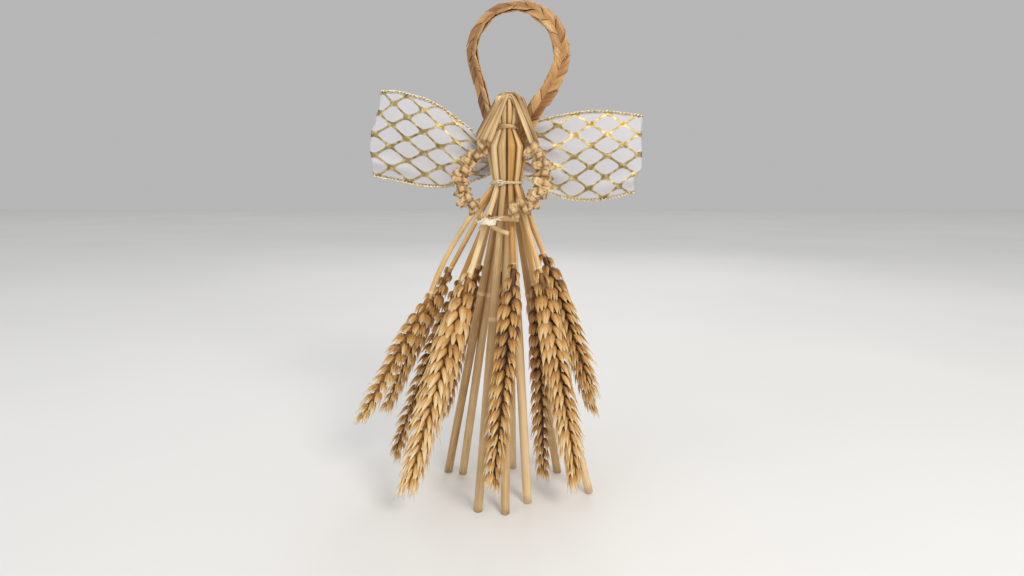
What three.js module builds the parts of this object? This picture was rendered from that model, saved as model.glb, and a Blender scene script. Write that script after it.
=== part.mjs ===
// A straw angel: twenty stalks of wheat bound at the neck and the waist, whose lower ends fan out as a
// skirt of ears and plain legs that it stands on. Hair, halo and folded arms are straw as well, and the
// wings are one length of ribbon gathered behind the back.
// Millimetres, +Z up. The angel faces -Y, and +X is on the viewer's right.
import * as THREE from "three";

// Driving dimensions. Radii and heights are those of the bound figure, measured from its own axis.
const STALKS = { sides: 8, gap: 0.3, legRadius: 2.1, stemRadius: 1.45, freeSteps: 4 };
// The bundle's levels are the crown, head, neck, chest and waist, with twelve stalks around eight.
const LEVELS = [214.6, 208, 199.5, 188, 170.6];
const OUTER = {
  stalks: 12,
  firstAzimuth: 15,
  radius: [3.1, 5.4, 3.6, 8.4, 6.4],
  halfDepth: [0.8, 1.2, 1.1, 1.7, 1.4],
};
const INNER = {
  stalks: 8,
  firstAzimuth: 35,
  radius: [1.3, 2.6, 1.45, 4.6, 3.3],
  halfDepth: [0.7, 1.2, 0.7, 1.4, 1.2],
};
const NECK = 2;
const WAIST = 4;
const EAR = { spikelets: 8, halfWidth: 7, halfThickness: 5.4, notch: 0.7, tipRadius: 0.9, bow: 1 };
const TIE = { thickness: 0.8, slack: 0.7, neckHeight: 1.8, waistHeight: 2.6, wristHeight: 1.8, sides: 20 };

// Hair straws lie over the crown and hang free below the brow, the rear ones shorter and further out.
const HAIR = { halfWidth: 1.95, halfThickness: 0.45, topZ: 217.3, parting: 2.3, steps: 12, atParting: 0.56 };
const BROW = { z: 212.6, radius: 7.6 };
const TEMPLE = { z: 206.5, frontRadius: 9.4, rearRadius: 11.6 };
const HAIR_END = { radius: 14.6, frontZ: 193, rearZ: 201 };
// The halo passes down between the fourth and the fifth hair straw.
const HAIR_AZIMUTHS = [38, 62, 86, 109, 149, 170];

// The halo: an oval, open below, whose ends come together at the nape.
const HALO = { x: 5, y: 7.7, z: 236.5, halfWidth: 22.8, halfHeight: 23.2, openFrom: 118, steps: 40 };
const BAND = { halfWidth: 4.1, leftShare: 0.74, halfThickness: 1.2, weave: 0.86 };
const LEFT_END = { nape: [-2.2, 196], side: [-9.6, 206] };
const RIGHT_END = { nape: [6.5, 196], side: [13.5, 207] };

const ARM = { halfWidth: 3.4, pinch: 0.62, folds: 11, wristRadius: 1.5, tailRadius: 1.2, sides: 6 };
const WRIST = { x: -9, y: -20.2, z: 153.2, lap: 2.1, tieRadius: 3.2, tieStretchX: 1.1, tieStretchY: 1.35 };
const LEFT_ARM = [[-11, -6, 190], [-17.5, -8, 184.5], [-23, -13, 174], [-21, -17, 165], [-14.5, -21, 158.5]];
const RIGHT_ARM = [[11.5, -6, 189.5], [17, -9, 181.5], [17.6, -14, 171], [12.5, -18, 163], [3, -18.5, 157.5]];

const RIBBON = { width: 47, halfSpan: 73.5, thickness: 0.8, lengthSteps: 14, widthSteps: 6 };
const GATHER = { y: 14.5, z: 187, width: 13, pleat: 2.4, spreadBy: 0.72 };
const WING = { leftRise: 10, rightDrop: 2.5, sweepBack: 4, cornerCut: 3.5 };

// Where each stalk ends below the waist, in the order in which its ring goes round from the front by the
// viewer's right. An ear runs from its base to its tip, and a leg to its foot on the ground.
const OUTER_ENDS = [
  { ear: "front", base: [3.5, -22, 130], tip: [-7, -36, 25] },
  { ear: "front_right", base: [17, -16, 127], tip: [35.5, -23, 21] },
  { ear: "inner_right", base: [14.5, -8, 117], tip: [20, -3, 12] },
  { ear: "right", base: [20, 3, 133], tip: [47, 6, 56] },
  { ear: "rear_right", base: [24, 13, 124], tip: [50, 27, 40] },
  { ear: "back_right", base: [14, 24, 124], tip: [27, 46, 30] },
  { ear: "back", base: [-3, 27, 122], tip: [-6, 51, 28] },
  { ear: "back_left", base: [-17, 23, 124], tip: [-40, 41, 30] },
  { ear: "rear_left", base: [-32, 10, 124], tip: [-70, 16, 44] },
  { ear: "left", base: [-41, -5, 112], tip: [-79.5, -2, 45], stemBow: 8 },
  { ear: "front_left", base: [-19, -18, 125], tip: [-49, -34, 23] },
  { leg: "front_left", foot: [-15.5, -20.5] },
];
const INNER_ENDS = [
  { leg: "front_right", foot: [11, -12] },
  { leg: "right", foot: [46, -2], squareCut: true },
  { leg: "back_right", foot: [30, 22] },
  { leg: "back", foot: [3, 27.5] },
  { leg: "back_left", foot: [-27, 20] },
  { ear: "inner_left", base: [-26, 2, 118], tip: [-64, 6, 20] },
  { leg: "left", foot: [-36, 22.5] },
  { leg: "front", foot: [-1, -23] },
];

const straw = new THREE.MeshStandardMaterial({ color: 0xc79a5b, roughness: 0.55, metalness: 0 });
const chaff = new THREE.MeshStandardMaterial({ color: 0xb98745, roughness: 0.7, metalness: 0 });
const raffia = new THREE.MeshStandardMaterial({ color: 0xe0cfa6, roughness: 0.8, metalness: 0 });
const gauze = new THREE.MeshStandardMaterial({ color: 0xd9d6dd, roughness: 0.6, metalness: 0.1 });

const { degToRad, lerp, mapLinear, smoothstep } = THREE.MathUtils;
const FORWARD = new THREE.Vector3(0, -1, 0);
const DOWN = new THREE.Vector3(0, 0, -1);
const figure = new THREE.Group();

// The horizontal direction at an azimuth that counts from the front, towards the viewer's right.
function heading(azimuth) {
  return new THREE.Vector3(Math.sin(degToRad(azimuth)), -Math.cos(degToRad(azimuth)), 0);
}

function addPiece(name, geometry, material) {
  const mesh = new THREE.Mesh(geometry, material);
  mesh.name = name;
  figure.add(mesh);
}

// A closed bar through a row of rings. A ring has a centre, a direction that its thickness faces, half
// sizes across and along that direction, and optionally its own axis and a relief factor by angle.
function barThrough(rings, sides, firstAngle = 0) {
  const last = rings.length - 1;
  const geometry = new THREE.CylinderGeometry(1, 1, 1, sides, last, false, firstAngle);
  const position = geometry.attributes.position;
  const corner = new THREE.Vector3();
  for (let i = 0; i < position.count; i++) {
    corner.fromBufferAttribute(position, i);
    const row = Math.round((0.5 - corner.y) * last);
    const ring = rings[row];
    const before = rings[Math.max(row - 1, 0)].centre;
    const after = rings[Math.min(row + 1, last)].centre;
    const along = ring.axis ?? after.clone().sub(before).normalize();
    const outward = ring.outward.clone().addScaledVector(along, -ring.outward.dot(along)).normalize();
    const across = outward.clone().cross(along);
    const relief = ring.relief ? ring.relief(Math.atan2(corner.x, corner.z)) : 1;
    const place = ring.centre
      .clone()
      .addScaledVector(across, corner.x * ring.halfAcross * relief)
      .addScaledVector(outward, corner.z * ring.halfOut * relief);
    position.setXYZ(i, place.x, place.y, place.z);
  }
  return geometry;
}

// Half the room that each of a number of stalks has for itself around a circle.
function halfPitch(radius, stalks) {
  return (Math.PI * radius) / stalks - STALKS.gap / 2;
}

// The bound part of a stalk, from the crown down to the waist.
function boundRings(ring, outward) {
  const profile = new THREE.SplineCurve(LEVELS.map((z, i) => new THREE.Vector2(ring.radius[i], z)));
  const depths = new THREE.SplineCurve(LEVELS.map((z, i) => new THREE.Vector2(ring.halfDepth[i], z)));
  const steps = 2 * (LEVELS.length - 1);
  return profile.getPoints(steps).map((point, i) => ({
    centre: outward.clone().multiplyScalar(point.x).setZ(point.y),
    outward,
    halfAcross: halfPitch(point.x, ring.stalks),
    halfOut: depths.getPoint(i / steps).x,
  }));
}

// The free part below the waist, which rounds out as the stalks draw apart and may bow outwards.
function freeRings(outward, waist, end, radius, bow = 0) {
  const middle = waist.centre.clone().lerp(end, 0.5).addScaledVector(outward, bow);
  const route = new THREE.QuadraticBezierCurve3(waist.centre, middle, end);
  const rings = [];
  for (let i = 1; i <= STALKS.freeSteps; i++) {
    const share = i / STALKS.freeSteps;
    rings.push({
      centre: route.getPoint(share),
      outward,
      halfAcross: lerp(waist.halfAcross, radius, Math.min(2 * share, 1)),
      halfOut: lerp(waist.halfOut, radius, Math.min(2 * share, 1)),
    });
  }
  return rings;
}

// How full the ear is along its length, from 0 at its base to 1 at its tip.
function earFullness(share) {
  const swell = smoothstep(share, -0.06, 0.22);
  const taper = 1 - 0.55 * smoothstep(share, 0.55, 1.05);
  return swell * taper;
}

// The ear itself: spikelets in two rows that alternate, each wider at its shoulder than below it.
function earRings(outward, base, tip) {
  const steps = 2 * EAR.spikelets;
  const middle = base.clone().lerp(tip, 0.5).addScaledVector(outward, EAR.bow);
  const spine = new THREE.QuadraticBezierCurve3(base, middle, tip);
  const rings = [];
  for (let i = 1; i <= steps; i++) {
    const full = i === steps ? EAR.tipRadius / EAR.halfWidth : earFullness(i / steps);
    const shoulderSide = i % 2 === 0 ? 1 : -1;
    rings.push({
      centre: spine.getPoint(i / steps),
      outward,
      halfAcross: EAR.halfWidth * full,
      halfOut: EAR.halfThickness * full,
      relief: (angle) => mapLinear(Math.sin(angle) * shoulderSide, -1, 1, EAR.notch, 1),
    });
  }
  return rings;
}

function addStalks(ring, ends) {
  ends.forEach((end, slot) => {
    const outward = heading(ring.firstAzimuth + (slot * 360) / ring.stalks);
    const bound = boundRings(ring, outward);
    const waist = bound.at(-1);
    if (end.ear) {
      const base = new THREE.Vector3(...end.base);
      const stem = freeRings(outward, waist, base, STALKS.stemRadius, end.stemBow);
      const ear = earRings(outward, base, new THREE.Vector3(...end.tip));
      addPiece("wheat_stalk_" + end.ear, barThrough([...bound, ...stem, ...ear], STALKS.sides), chaff);
      return;
    }
    const foot = new THREE.Vector3(...end.foot, 0);
    const leg = freeRings(outward, waist, foot, STALKS.legRadius);
    if (end.squareCut) {
      const lean = foot.clone().sub(waist.centre).normalize();
      leg.at(-1).centre.z = STALKS.legRadius * Math.hypot(lean.x, lean.y);
    } else {
      leg.at(-1).axis = DOWN;
    }
    addPiece("leg_straw_" + end.leg, barThrough([...bound, ...leg], STALKS.sides), straw);
  });
}

// A band with a slightly rounded outside, open in the middle.
function tieRing(innerRadius, height) {
  const outer = innerRadius + TIE.thickness;
  const half = height / 2;
  const shoulder = half * 0.6;
  const section = [
    new THREE.Vector2(innerRadius, -half),
    new THREE.Vector2(outer, -shoulder),
    new THREE.Vector2(outer, shoulder),
    new THREE.Vector2(innerRadius, half),
    new THREE.Vector2(innerRadius, -half),
  ];
  return new THREE.LatheGeometry(section, TIE.sides).rotateX(Math.PI / 2);
}

// The waist tie sits just above the level where the stalks begin to fan out.
function addBundleTies() {
  const neckRing = tieRing(OUTER.radius[NECK] + OUTER.halfDepth[NECK] + TIE.slack, TIE.neckHeight);
  addPiece("neck_tie", neckRing.translate(0, 0, LEVELS[NECK]), raffia);
  const waistRing = tieRing(OUTER.radius[WAIST] + OUTER.halfDepth[WAIST] + TIE.slack, TIE.waistHeight);
  addPiece("waist_tie", waistRing.translate(0, 0, LEVELS[WAIST] + TIE.waistHeight / 2), raffia);
}

// Flattened straws bent over the crown from a centre parting, hanging down on both sides of the face.
function addHair() {
  const last = HAIR_AZIMUTHS.length - 1;
  HAIR_AZIMUTHS.forEach((azimuth, k) => {
    const share = k / last;
    const partingY = (k - last / 2) * HAIR.parting;
    const crown = new THREE.Vector3(0, partingY, HAIR.topZ - partingY ** 2 / (2 * BROW.radius));
    const [left, right] = [-1, 1].map((side) => {
      const away = heading(side * azimuth);
      const templeRadius = lerp(TEMPLE.frontRadius, TEMPLE.rearRadius, share);
      const endZ = lerp(HAIR_END.frontZ, HAIR_END.rearZ, share ** 2);
      return [
        away.clone().multiplyScalar(HAIR_END.radius).setZ(endZ),
        away.clone().multiplyScalar(templeRadius).setZ(TEMPLE.z),
        away.clone().multiplyScalar(BROW.radius).setZ(BROW.z),
      ];
    });
    const curve = new THREE.CatmullRomCurve3([...left, crown, ...right.reverse()]);
    const rings = curve.getPoints(HAIR.steps).map((centre, i) => {
      const fromParting = Math.abs((2 * i) / HAIR.steps - 1);
      const narrowing = lerp(HAIR.atParting, 1, smoothstep(fromParting, 0.3, 0.9));
      return {
        centre,
        outward: centre.clone().setZ(Math.max(centre.z - TEMPLE.z, 0)).normalize(),
        halfAcross: HAIR.halfWidth * narrowing * Math.SQRT2,
        halfOut: HAIR.halfThickness * Math.SQRT2,
      };
    });
    addPiece("hair_straw_" + (k + 1), barThrough(rings, 4, Math.PI / 4), straw);
  });
}

// The halo is a flat plait, which shows its face on the right and turns towards its edge on the left.
function addHalo() {
  const at = ([x, z]) => new THREE.Vector3(x, HALO.y, z);
  const route = [at(LEFT_END.nape), at(LEFT_END.side)];
  for (let i = -4; i <= 4; i++) {
    const angle = degToRad((i * HALO.openFrom) / 4);
    route.push(at([HALO.x + HALO.halfWidth * Math.sin(angle), HALO.z + HALO.halfHeight * Math.cos(angle)]));
  }
  route.push(at(RIGHT_END.side), at(RIGHT_END.nape));
  const rings = new THREE.CatmullRomCurve3(route).getPoints(HALO.steps).map((centre, i) => ({
    centre,
    outward: FORWARD,
    halfAcross: BAND.halfWidth * lerp(BAND.leftShare, 1, i / HALO.steps) * (i % 2 ? 1 : BAND.weave),
    halfOut: BAND.halfThickness * (i % 2 ? BAND.weave : 1),
  }));
  addPiece("halo_plait", barThrough(rings, 6), straw);
}

// An arm is a concertina of folded straw down to the wrist, then a plain straw end held by the wrist tie.
function addArm(name, route, tail) {
  const curve = new THREE.CatmullRomCurve3(route.map((point) => new THREE.Vector3(...point)));
  const steps = 2 * ARM.folds;
  const rings = curve.getSpacedPoints(steps).map((centre, i) => ({
    centre,
    outward: FORWARD,
    halfAcross: ARM.halfWidth * (i % 2 ? 1 : ARM.pinch),
    halfOut: ARM.halfWidth * (i % 2 ? ARM.pinch : 1),
  }));
  rings[steps].halfAcross = ARM.wristRadius;
  rings[steps].halfOut = ARM.wristRadius;
  for (const point of tail) {
    const centre = new THREE.Vector3(...point);
    rings.push({ centre, outward: FORWARD, halfAcross: ARM.tailRadius, halfOut: ARM.tailRadius });
  }
  addPiece(name, barThrough(rings, ARM.sides), straw);
}

// The left arm's end crosses in front of the right arm's, and one tie holds both.
function addArms() {
  const front = WRIST.y - WRIST.lap;
  const rear = WRIST.y + WRIST.lap;
  addArm("arm_left", LEFT_ARM, [
    [WRIST.x - 4, front, WRIST.z + 3.6],
    [WRIST.x, front, WRIST.z],
    [WRIST.x + 4, front, WRIST.z - 3.4],
    [WRIST.x + 10, front - 1.2, WRIST.z - 5.6],
  ]);
  addArm("arm_right", RIGHT_ARM, [
    [WRIST.x + 4, rear, WRIST.z + 3.6],
    [WRIST.x, rear, WRIST.z],
    [WRIST.x - 3.5, rear, WRIST.z - 4.7],
  ]);
  const ring = tieRing(WRIST.tieRadius, TIE.wristHeight).scale(WRIST.tieStretchX, WRIST.tieStretchY, 1);
  addPiece("wrist_tie", ring.translate(WRIST.x, WRIST.y, WRIST.z), raffia);
}

// One length of ribbon, gathered in the middle behind the back and spread to full width at both tips.
function addWings() {
  const sheet = new THREE.BoxGeometry(2, 2, 2, RIBBON.lengthSteps, RIBBON.widthSteps, 1);
  const position = sheet.attributes.position;
  const corner = new THREE.Vector3();
  for (let i = 0; i < position.count; i++) {
    corner.fromBufferAttribute(position, i);
    const out = Math.abs(corner.x);
    const spread = Math.sin((Math.PI / 2) * Math.min(out / GATHER.spreadBy, 1));
    const halfHigh = lerp(GATHER.width, RIBBON.width, spread) / 2;
    const pleat = GATHER.pleat * (1 - spread) * Math.cos(2 * Math.PI * corner.y);
    const lift = corner.x < 0 ? WING.leftRise * out : -WING.rightDrop * out;
    position.setXYZ(
      i,
      corner.x * (RIBBON.halfSpan - WING.cornerCut * out ** 3 * corner.y ** 2),
      GATHER.y + WING.sweepBack * out + pleat - corner.z * (RIBBON.thickness / 2),
      GATHER.z + lift + corner.y * halfHigh,
    );
  }
  addPiece("wing_ribbon", sheet, gauze);
}

addStalks(OUTER, OUTER_ENDS);
addStalks(INNER, INNER_ENDS);
addBundleTies();
addHair();
addHalo();
addArms();
addWings();

// The origin is on the ground under the middle of the whole figure.
const box = new THREE.Box3().setFromObject(figure);
const middle = box.getCenter(new THREE.Vector3());
figure.position.set(-middle.x, -middle.y, -box.min.z);

const angel = new THREE.Group();
angel.add(figure);
export default angel;
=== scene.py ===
import math
import random

import bmesh
import bpy
from mathutils import Matrix, Vector


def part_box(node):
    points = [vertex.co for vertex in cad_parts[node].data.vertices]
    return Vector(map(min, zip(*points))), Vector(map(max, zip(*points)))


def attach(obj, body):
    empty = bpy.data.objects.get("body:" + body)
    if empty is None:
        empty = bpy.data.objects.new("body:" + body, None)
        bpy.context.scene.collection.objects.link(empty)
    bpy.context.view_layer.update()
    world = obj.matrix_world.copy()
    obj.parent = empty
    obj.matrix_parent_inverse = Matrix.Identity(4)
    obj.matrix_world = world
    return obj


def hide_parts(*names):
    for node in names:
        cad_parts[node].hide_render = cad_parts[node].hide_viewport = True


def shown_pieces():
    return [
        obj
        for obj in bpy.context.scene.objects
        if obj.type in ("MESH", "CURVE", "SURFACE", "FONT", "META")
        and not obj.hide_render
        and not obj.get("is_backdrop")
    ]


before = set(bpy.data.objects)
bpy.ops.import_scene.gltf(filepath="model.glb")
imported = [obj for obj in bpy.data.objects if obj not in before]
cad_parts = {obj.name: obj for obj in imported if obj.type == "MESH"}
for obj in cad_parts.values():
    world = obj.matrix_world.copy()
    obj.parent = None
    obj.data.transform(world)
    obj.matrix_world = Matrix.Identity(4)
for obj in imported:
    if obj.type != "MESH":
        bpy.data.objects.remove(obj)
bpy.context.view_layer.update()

# everything is modelled in millimetres on the figure's own axis, which runs through the neck tie
tieLow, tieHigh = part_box("neck_tie")
axisPlace = Matrix.Translation(((tieLow.x + tieHigh.x) / 2, (tieLow.y + tieHigh.y) / 2, 0))
toFrame = axisPlace @ Matrix.Scale(0.001, 4)
chance = random.Random(7)
up = Vector((0, 0, 1))
forward = Vector((0, -1, 0))


def lerp(a, b, share):
    return a + (b - a) * share


def smoothstep(x, low, high):
    t = min(max((x - low) / (high - low), 0), 1)
    return t * t * (3 - 2 * t)


def heading(azimuth):
    turn = math.radians(azimuth)   # 0 is the front, + goes to the viewer's right
    return Vector((math.sin(turn), -math.cos(turn), 0))


# a smooth line through points, with the given steps from one point to the next
def smoothRoute(points, steps):
    points = [Vector(p) for p in points]
    padded = [2 * points[0] - points[1]] + points + [2 * points[-1] - points[-2]]
    route = []
    for i in range(len(points) - 1):
        a, b, c, d = padded[i:i + 4]
        for j in range(steps):
            t = j / steps
            route.append(0.5 * (2 * b + (c - a) * t + (2 * a - 5 * b + 4 * c - d) * t * t
                                + (3 * b - a - 3 * c + d) * t * t * t))
    return route + [points[-1].copy()]


def bentRoute(start, middle, end, steps):
    return [start * (1 - t) ** 2 + middle * 2 * t * (1 - t) + end * t * t
            for t in (i / steps for i in range(steps + 1))]


# the same line cut into equal steps
def evenRoute(points, count):
    reach = [0.0]
    for a, b in zip(points, points[1:]):
        reach.append(reach[-1] + (b - a).length)
    even = []
    j = 0
    for i in range(count + 1):
        goal = reach[-1] * i / count
        while j < len(points) - 2 and reach[j + 1] < goal:
            j += 1
        share = (goal - reach[j]) / (reach[j + 1] - reach[j])
        even.append(points[j].lerp(points[j + 1], min(max(share, 0), 1)))
    return even


# rings along a line, each with the way its broad side faces
def ringsAlong(centres, faces, halfWidths, halfDepths):
    rings = []
    last = len(centres) - 1
    for i, centre in enumerate(centres):
        along = (centres[min(i + 1, last)] - centres[max(i - 1, 0)]).normalized()
        outward = (faces[i] - along * faces[i].dot(along)).normalized()
        rings.append((centre, outward.cross(along), outward, halfWidths[i], halfDepths[i]))
    return rings


# rings of one size all along
def evenRings(centres, faces, half):
    return ringsAlong(centres, faces, [half[0]] * len(centres), [half[1]] * len(centres))


def startPiece():
    bm = bmesh.new()
    bm.loops.layers.uv.new("strawUv")
    bm.verts.layers.float.new("tone")
    return bm


# a straw, strip or strand: a grid rolled up along its rings; square below 1 gives a boxier section
def rollStraw(bm, rings, sides, tones, square=1.0, ends="closed", fluting=0.0, shade=0.0):
    pick = lambda value, row: value[row] if isinstance(value, list) else value
    uvLayer = bm.loops.layers.uv["strawUv"]
    toneLayer = bm.verts.layers.float["tone"]
    last = len(rings) - 1
    grid = bmesh.ops.create_grid(bm, x_segments=sides, y_segments=last, size=1)["verts"]
    spot = {v: (round((v.co.x + 1) / 2 * sides), round((v.co.y + 1) / 2 * last)) for v in grid}
    faces = list({f for v in grid for f in v.link_faces})
    reach = [0.0]
    for a, b in zip(rings, rings[1:]):
        reach.append(reach[-1] + (b[0] - a[0]).length)
    shift = chance.random() * 7
    for face in faces:
        face.smooth = True
        for loop in face.loops:
            col, row = spot[loop.vert]
            loop[uvLayer].uv = (col / sides + shift, reach[row] / 100 + shift)
    seam = []
    for v, (col, row) in spot.items():
        centre, across, outward, halfWidth, halfDepth = rings[row]
        angle = math.pi + 2 * math.pi * col / sides   # the seam lies on the inner side
        s, c = math.sin(angle), math.cos(angle)
        rib = 1 + pick(fluting, row) * math.cos(angle * sides / 2)
        s = math.copysign(abs(s) ** pick(square, row), s) * rib
        c = math.copysign(abs(c) ** pick(square, row), c) * rib
        v.co = centre + across * s * halfWidth + outward * c * halfDepth
        # shade darkens each straw towards its two sides: painted shade in the gaps between neighbouring straws
        v[toneLayer] = pick(tones, row) - pick(shade, row) * abs(math.sin(angle)) ** 5
        if col in (0, sides) or (ends == "joined" and row in (0, last)):
            seam.append(v)
    bmesh.ops.remove_doubles(bm, verts=seam, dist=1e-4)
    rims = [e for e in {e for f in faces if f.is_valid for e in f.edges} if e.is_boundary]
    if ends == "hollow":   # a cut straw shows its wall and its bore; the bore is coloured near black, painted shade inside the hollow
        top, foot = rings[0][0], rings[-1][0]
        footRim = [e for e in rims if all((v.co - foot).length < (v.co - top).length for v in e.verts)]
        rims = [e for e in rims if e not in footRim]
        bore = (rings[-2][0] - foot).normalized()
        for squeeze, sink, tone in ((0.66, 0, 0.75), (0.96, 9, 0.05)):
            lip = bmesh.ops.extrude_edge_only(bm, edges=footRim)["geom"]
            lipVerts = [g for g in lip if isinstance(g, bmesh.types.BMVert)]
            lipEdges = [g for g in lip if isinstance(g, bmesh.types.BMEdge)]
            footRim = [e for e in lipEdges if all(v in lipVerts for v in e.verts)]
            middle = sum((v.co for v in lipVerts), Vector()) / len(lipVerts)
            for v in lipVerts:
                v.co = middle + (v.co - middle) * squeeze + bore * sink
                v[toneLayer] = tone
        rims += footRim
    if ends != "joined":
        bmesh.ops.holes_fill(bm, edges=rims, sides=0)
    return faces


def finishPiece(bm, name, nodes, finish):
    bmesh.ops.transform(bm, matrix=toFrame, verts=bm.verts)
    bmesh.ops.recalc_face_normals(bm, faces=bm.faces)
    mesh = bpy.data.meshes.new(name)
    bm.to_mesh(mesh)
    bm.free()
    mesh.materials.append(finish)
    piece = bpy.data.objects.new(name, mesh)
    bpy.context.scene.collection.objects.link(piece)
    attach(piece, "root")
    if nodes:
        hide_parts(*nodes)
    return piece


# finishes
def newFinish(name):
    finish = bpy.data.materials.new(name)
    finish.use_nodes = True
    return finish, finish.node_tree, finish.node_tree.nodes["Principled BSDF"]


def addNode(tree, kind, inputs=None, **settings):
    node = tree.nodes.new("ShaderNode" + kind)
    for key, value in settings.items():
        setattr(node, key, value)
    for key, value in (inputs or {}).items():
        if isinstance(value, bpy.types.NodeSocket):
            tree.links.new(value, node.inputs[key])
        else:
            node.inputs[key].default_value = value
    return node


def sums(tree, operation, a, b=0.0, clamp=False):
    return addNode(tree, "Math", {0: a, 1: b}, operation=operation, use_clamp=clamp).outputs[0]


def ramp(tree, factor, stops):
    node = addNode(tree, "ValToRGB", {0: factor})
    elements = node.color_ramp.elements
    for index, (position, colour) in enumerate((stops[0], stops[-1])):
        elements[index].position = position
        elements[index].color = (*colour, 1)
    for position, colour in stops[1:-1]:
        elements.new(position).color = (*colour, 1)
    return node.outputs[0]


def grain(tree, coords, stretch, detail=3.0):
    mapped = addNode(tree, "Mapping", {"Vector": coords, "Scale": stretch}).outputs[0]
    noise = {"Vector": mapped, "Scale": 1.0, "Detail": detail, "Roughness": 0.6}
    return addNode(tree, "TexNoise", noise).outputs[0]


def addBump(tree, shader, height, strength, distance):
    bump = addNode(tree, "Bump", {"Height": height, "Strength": strength, "Distance": distance})
    tree.links.new(bump.outputs[0], shader.inputs["Normal"])


strawGrain = {"fibreMix": 0.75, "blotchMix": 0.55, "bump": 0.35, "bumpDepth": 0.0003}


# fibres run along the straw, with slower colour changes from straw to straw and along each
def makeStrawFinish(name, stops, fibre, blotch, rough):
    finish, tree, shader = newFinish(name)
    coords = addNode(tree, "UVMap", uv_map="strawUv").outputs[0]
    tone = addNode(tree, "Attribute", attribute_name="tone").outputs["Fac"]
    fine = grain(tree, coords, fibre)
    slow = grain(tree, coords, blotch, 2.0)
    fibres = sums(tree, "MULTIPLY", sums(tree, "SUBTRACT", fine, 0.5), strawGrain["fibreMix"])
    blotches = sums(tree, "MULTIPLY", sums(tree, "SUBTRACT", slow, 0.5), strawGrain["blotchMix"])
    mixed = sums(tree, "ADD", sums(tree, "ADD", tone, fibres), blotches, True)
    tree.links.new(ramp(tree, mixed, stops), shader.inputs["Base Color"])
    gloss = addNode(tree, "MapRange", {"Value": fine, "To Min": rough[0], "To Max": rough[1]}).outputs[0]
    tree.links.new(gloss, shader.inputs["Roughness"])
    addBump(tree, shader, fine, strawGrain["bump"], strawGrain["bumpDepth"])
    return finish


strawFinish = makeStrawFinish("goldenStraw", [
    (0.0, (0.12, 0.052, 0.015)), (0.3, (0.35, 0.19, 0.066)),
    (0.62, (0.60, 0.40, 0.18)), (1.0, (0.83, 0.61, 0.35)),
], (26, 3.0, 1), (2.5, 4.5, 1), (0.32, 0.5))
chaffFinish = makeStrawFinish("ripeChaff", [
    (0.0, (0.06, 0.022, 0.005)), (0.24, (0.33, 0.145, 0.03)),
    (0.56, (0.64, 0.365, 0.112)), (1.0, (0.92, 0.72, 0.42)),
], (9, 1.2, 1), (1.3, 1.1, 1), (0.42, 0.6))
toastedFinish = makeStrawFinish("toastedStraw", [
    (0.0, (0.13, 0.05, 0.014)), (0.3, (0.37, 0.17, 0.05)),
    (0.62, (0.58, 0.33, 0.12)), (1.0, (0.80, 0.56, 0.31)),
], (22, 2.0, 1), (3.0, 6.0, 1), (0.3, 0.48))
raffiaFinish = makeStrawFinish("paleRaffia", [
    (0.0, (0.30, 0.19, 0.08)), (0.35, (0.56, 0.42, 0.22)),
    (0.7, (0.78, 0.67, 0.46)), (1.0, (0.90, 0.84, 0.70)),
], (14, 8, 1), (3, 9, 1), (0.5, 0.75))

ribbon = {
    "width": 50, "length": 160, "steps": (176, 44), "thickness": 0.22,
    "lattice": (19.5, 11.5), "line": 0.437, "corner": 4.2, "hem": 0.945, "drawn": 0.35,
    "gatherY": 14.5, "sweepBack": 4.0, "reach": 73.5,
    # share of the wing's reach and height of its upper and lower edge there
    "leftTop": [(0, 193.5), (0.2, 195.6), (0.27, 200.3), (0.365, 205.5), (0.45, 210.2),
                (0.58, 215.2), (0.7, 217.6), (0.82, 219.6), (1, 220.1)],
    "leftLow": [(0, 180.5), (0.21, 174.2), (0.31, 171.8), (0.42, 170.4), (0.55, 170.2),
                (0.68, 171.2), (0.84, 173.8), (1, 175.9)],
    "rightTop": [(0, 193.5), (0.18, 202.4), (0.275, 205.1), (0.39, 207.1), (0.55, 209.0),
                 (0.71, 209.4), (0.85, 208.5), (1, 207.3)],
    "rightLow": [(0, 180.5), (0.21, 171.4), (0.28, 167.8), (0.4, 164.3), (0.55, 162.8),
                 (0.68, 162.8), (0.8, 164.1), (1, 167.1)],
    # how far out the cut tip stands, from the lower corner to the upper
    "leftTip": [73.5, 73.2, 74.5, 73.4, 70.6, 68.6, 67.6],
    "rightTip": [69.9, 68.6, 73.2, 73.1, 72.7, 72.5, 73.1],
}
for edge in ("leftTop", "leftLow", "rightTop", "rightLow"):
    ribbon[edge] = smoothRoute([(share, z, 0) for share, z in ribbon[edge]], 10)


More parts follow.
